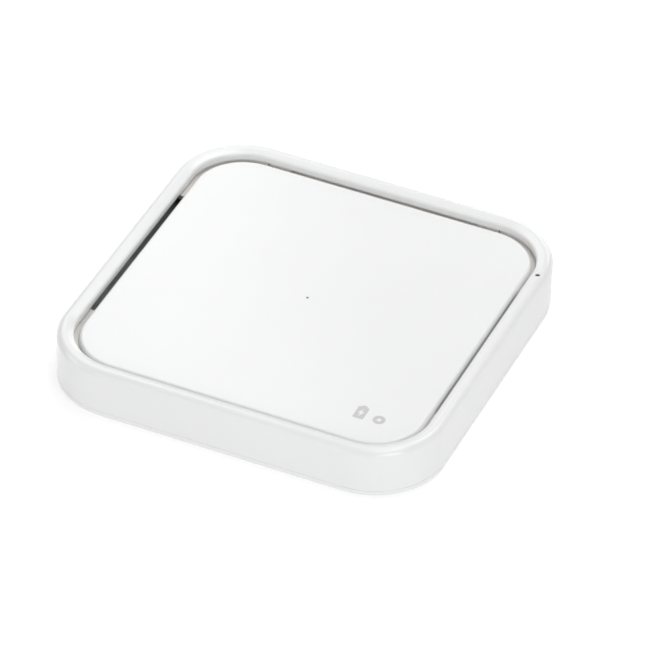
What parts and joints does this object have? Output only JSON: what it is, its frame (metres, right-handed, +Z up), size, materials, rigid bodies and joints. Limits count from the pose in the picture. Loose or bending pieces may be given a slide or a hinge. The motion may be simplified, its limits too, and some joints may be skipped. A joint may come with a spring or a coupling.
{
  "type": "wireless charging pad",
  "caption": "Square white wireless charging pad with round corners, a recessed plate, air vents around it, a fan inside, a USB-C inlet at the back and rubber feet.",
  "frame": {"origin": "centre of the footprint, on the surface that the rubber feet stand on", "axes": "+Z up out of the charging plate, +Y towards the side with the USB-C inlet, +X towards the side with the status light"},
  "size_m": [0.097, 0.097, 0.0138],
  "materials": {
    "white_shell": "semi-gloss moulded",
    "grey_frame": "fine moulded",
    "white_plate": "satin soft-touch",
    "adhesive_tape": "matt",
    "dark_grey_print": "printed",
    "light_grey_print": "printed",
    "white_base": "fine grain",
    "grey_rubber": "matt",
    "screw_steel": "zinc plated",
    "smoked_plastic": "smoked, clear",
    "led_resin": "moulded resin",
    "green_board": "solder mask",
    "plated_steel": "nickel plated",
    "black_plastic": "moulded",
    "gold_contact": "gold plated",
    "black_package": "matt epoxy",
    "tan_ceramic": "fired",
    "yellow_package": "matt epoxy",
    "ferrite_grey": "sintered",
    "blue_silicone": "soft",
    "aluminium_sheet": "rolled",
    "copper_litz": "enamelled copper",
    "grey_carrier": "moulded",
    "brown_epoxy": "dipped",
    "black_foam": "open foam",
    "bearing_bronze": "sintered",
    "natural_nylon": "moulded",
    "core_steel": "stamped",
    "red_sleeve": "extruded",
    "grey_impeller": "moulded",
    "magnet_black": "bonded",
    "shaft_steel": "ground"
  },
  "bodies": {
    "housing": {"outer_shell": "white_shell", "inner_frame": "grey_frame", "charging_plate": "white_plate", "plate_adhesive": "adhesive_tape", "centre_mark": "dark_grey_print", "corner_mark": "light_grey_print", "base_cover": "white_base", "foot_strips": "grey_rubber", "base_screws": "screw_steel", "light_pipe": "smoked_plastic", "status_led": "led_resin", "main_pcb": "green_board", "pcb_screws": "screw_steel", "usb_shell": "plated_steel", "usb_insulator": "black_plastic", "usb_contacts": "gold_contact", "controller_ic": "black_package", "bridge_ics": "black_package", "regulator_ic": "black_package", "crystal": "plated_steel", "resonant_capacitors": "tan_ceramic", "bulk_capacitors": "yellow_package", "power_inductor": "ferrite_grey", "chip_resistors": "black_package", "shield_can": "plated_steel", "thermal_pad": "blue_silicone", "heat_spreader": "aluminium_sheet", "coil_winding": "copper_litz", "ferrite_disc": "ferrite_grey", "coil_carrier": "grey_carrier", "carrier_screws": "screw_steel", "thermistor": "brown_epoxy", "fan_housing": "black_plastic", "fan_cover": "black_plastic", "fan_gasket": "black_foam", "fan_screws": "screw_steel", "fan_board": "green_board", "fan_bearing": "bearing_bronze", "thrust_pad": "natural_nylon", "stator_core": "core_steel", "stator_coils": "copper_litz", "fan_cable": "red_sleeve", "fan_connector": "natural_nylon"},
    "impeller": {"impeller": "grey_impeller", "rotor_yoke": "core_steel", "rotor_magnet": "magnet_black", "fan_shaft": "shaft_steel"}
  },
  "joints": [
    {"name": "impeller_spin", "type": "hinge", "parent": "housing", "child": "impeller", "pos_m": [0, -0.016, 0.0055], "axis": [0, 0, 1], "continuous": true}
  ]
}
